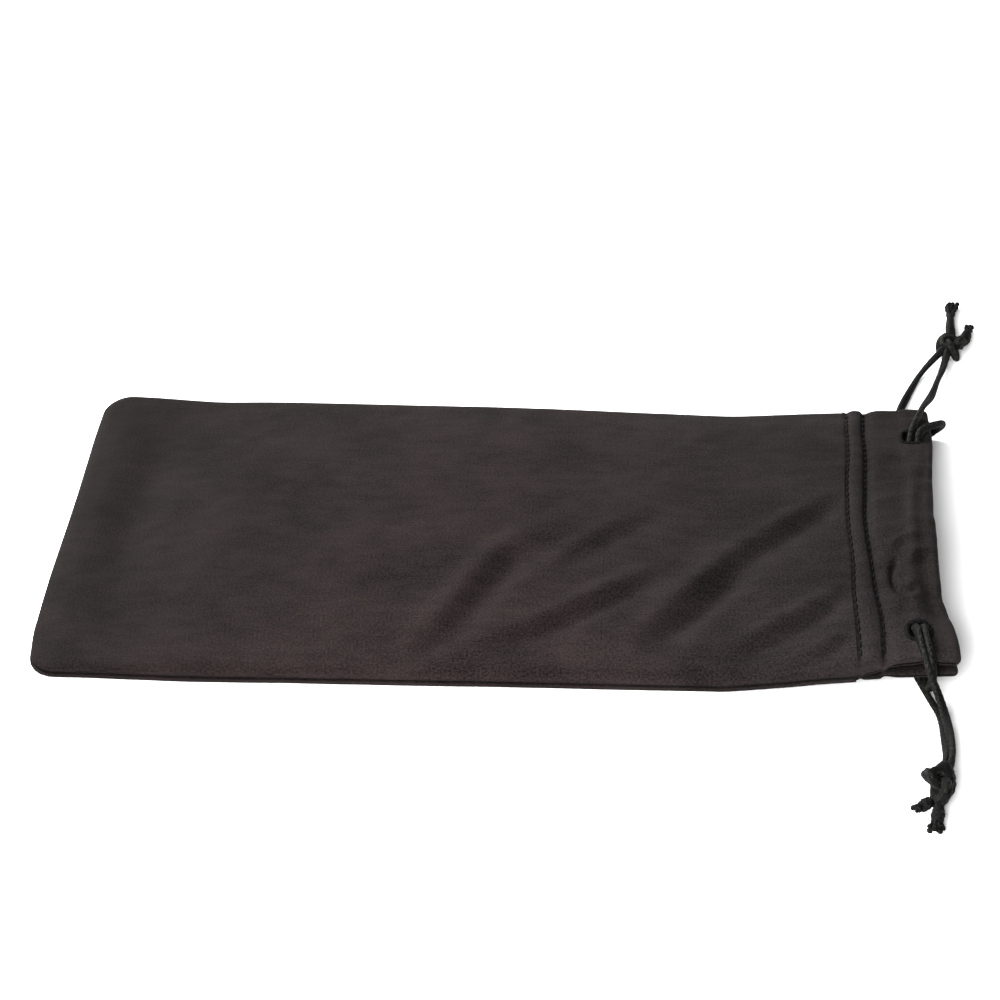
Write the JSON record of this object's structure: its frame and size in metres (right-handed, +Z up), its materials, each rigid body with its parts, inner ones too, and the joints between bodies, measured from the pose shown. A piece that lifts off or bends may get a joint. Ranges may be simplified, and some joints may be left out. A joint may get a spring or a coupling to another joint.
{
  "type": "soft drawstring glasses pouch",
  "caption": "Flat soft cloth pouch for glasses with a channel hem at its mouth and two opposed drawstrings that gather it shut.",
  "frame": {"origin": "on the surface the pouch lies on, under the middle of its cloth body", "axes": "+X from the sewn bottom end to the mouth, +Y across to the far side, +Z up through the front panel"},
  "size_m": [0.1941, 0.1808, 0.0116],
  "materials": {
    "microfibre": "matte brushed knit",
    "sewing_thread": "matte polyester thread",
    "drawstring": "braided, slightly glossy"
  },
  "bodies": {
    "pouch": {"back_panel": "microfibre", "front_panel": "microfibre", "back_hem": "microfibre", "front_hem": "microfibre", "near_seam_allowance": "microfibre", "bottom_seam_allowance": "microfibre", "near_seam_thread": "sewing_thread", "bottom_seam_thread": "sewing_thread", "front_hem_first_stitching": "sewing_thread", "front_hem_second_stitching": "sewing_thread", "back_hem_first_stitching": "sewing_thread", "back_hem_second_stitching": "sewing_thread"},
    "near_corner": {"near_front_buttonhole": "sewing_thread", "near_back_buttonhole": "sewing_thread", "far_cord_loop": "drawstring"},
    "far_corner": {"far_front_buttonhole": "sewing_thread", "far_back_buttonhole": "sewing_thread", "near_cord_loop": "drawstring"},
    "near_tail": {"near_cord_front_tail": "drawstring", "near_cord_back_tail": "drawstring", "near_knot": "drawstring", "near_cord_front_end": "drawstring", "near_cord_back_end": "drawstring"},
    "far_tail": {"far_cord_front_tail": "drawstring", "far_cord_back_tail": "drawstring", "far_knot": "drawstring", "far_cord_front_end": "drawstring", "far_cord_back_end": "drawstring"}
  },
  "joints": [
    {"name": "near_corner_gather", "type": "slide", "parent": "pouch", "child": "near_corner", "axis": [0, 1, 0], "range_m": [0, 0.025], "deforming": ["front_panel", "back_panel", "front_hem", "back_hem", "front_hem_first_stitching", "front_hem_second_stitching", "back_hem_first_stitching", "back_hem_second_stitching", "far_cord_loop", "far_cord_front_tail", "far_cord_back_tail"]},
    {"name": "far_corner_gather", "type": "slide", "parent": "pouch", "child": "far_corner", "axis": [0, -1, 0], "range_m": [0, 0.025], "deforming": ["front_panel", "back_panel", "front_hem", "back_hem", "front_hem_first_stitching", "front_hem_second_stitching", "back_hem_first_stitching", "back_hem_second_stitching", "near_cord_loop", "near_cord_front_tail", "near_cord_back_tail"]},
    {"name": "near_pull", "type": "slide", "parent": "near_corner", "child": "near_tail", "axis": [0, -1, 0], "range_m": [0, 0.025], "deforming": ["front_panel", "back_panel", "front_hem", "back_hem", "front_hem_first_stitching", "front_hem_second_stitching", "back_hem_first_stitching", "back_hem_second_stitching", "near_cord_loop", "near_cord_front_tail", "near_cord_back_tail"]},
    {"name": "far_pull", "type": "slide", "parent": "far_corner", "child": "far_tail", "axis": [0, 1, 0], "range_m": [0, 0.025], "deforming": ["front_panel", "back_panel", "front_hem", "back_hem", "front_hem_first_stitching", "front_hem_second_stitching", "back_hem_first_stitching", "back_hem_second_stitching", "far_cord_loop", "far_cord_front_tail", "far_cord_back_tail"]}
  ],
  "couplings": [
    {"joint": "far_corner_gather", "follows": "near_pull", "ratio": 1},
    {"joint": "near_corner_gather", "follows": "far_pull", "ratio": 1}
  ]
}
